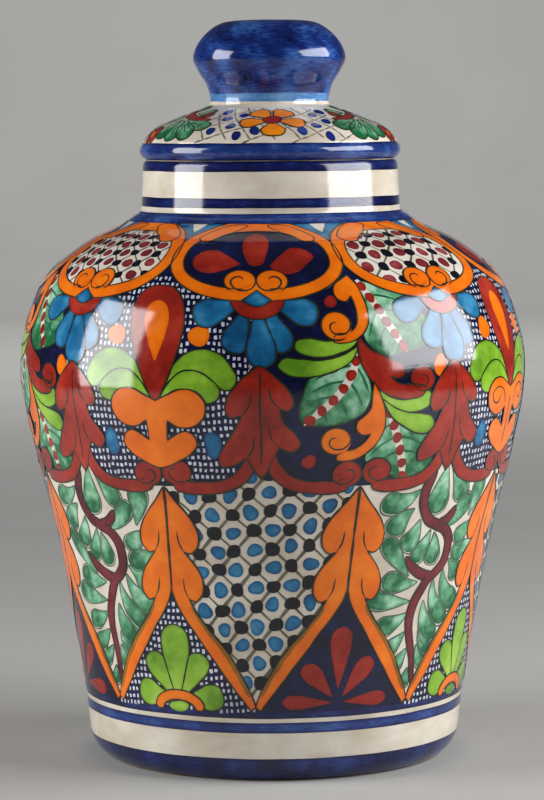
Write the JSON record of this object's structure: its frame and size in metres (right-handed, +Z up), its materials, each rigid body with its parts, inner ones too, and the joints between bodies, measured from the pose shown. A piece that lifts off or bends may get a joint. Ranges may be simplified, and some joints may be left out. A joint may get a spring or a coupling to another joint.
{
  "type": "lidded pottery jar",
  "caption": "Shouldered glazed earthenware jar with a short straight neck and a domed lid that lifts off by a hollow knob, painted all over in bands of flowers and leaves.",
  "frame": {"origin": "centre of the foot ring, on the plane that the jar stands on", "axes": "+Z up along the jar's axis of revolution, -Y towards the front of the painted design, +X to its right"},
  "size_m": [0.346, 0.346, 0.5026],
  "materials": {
    "painted_glaze": "gloss",
    "white_glaze": "gloss",
    "cobalt_glaze": "gloss",
    "bare_clay": "matte"
  },
  "bodies": {
    "jar": {"jar_body": "painted_glaze", "jar_neck": "white_glaze"},
    "lid": {"lid_dome": "white_glaze", "lid_knob": "cobalt_glaze", "lid_ring": "bare_clay"}
  },
  "joints": [
    {"name": "lid_lift", "type": "slide", "parent": "jar", "child": "lid", "axis": [0, 0, 1], "range_m": [0, 0.12]}
  ]
}
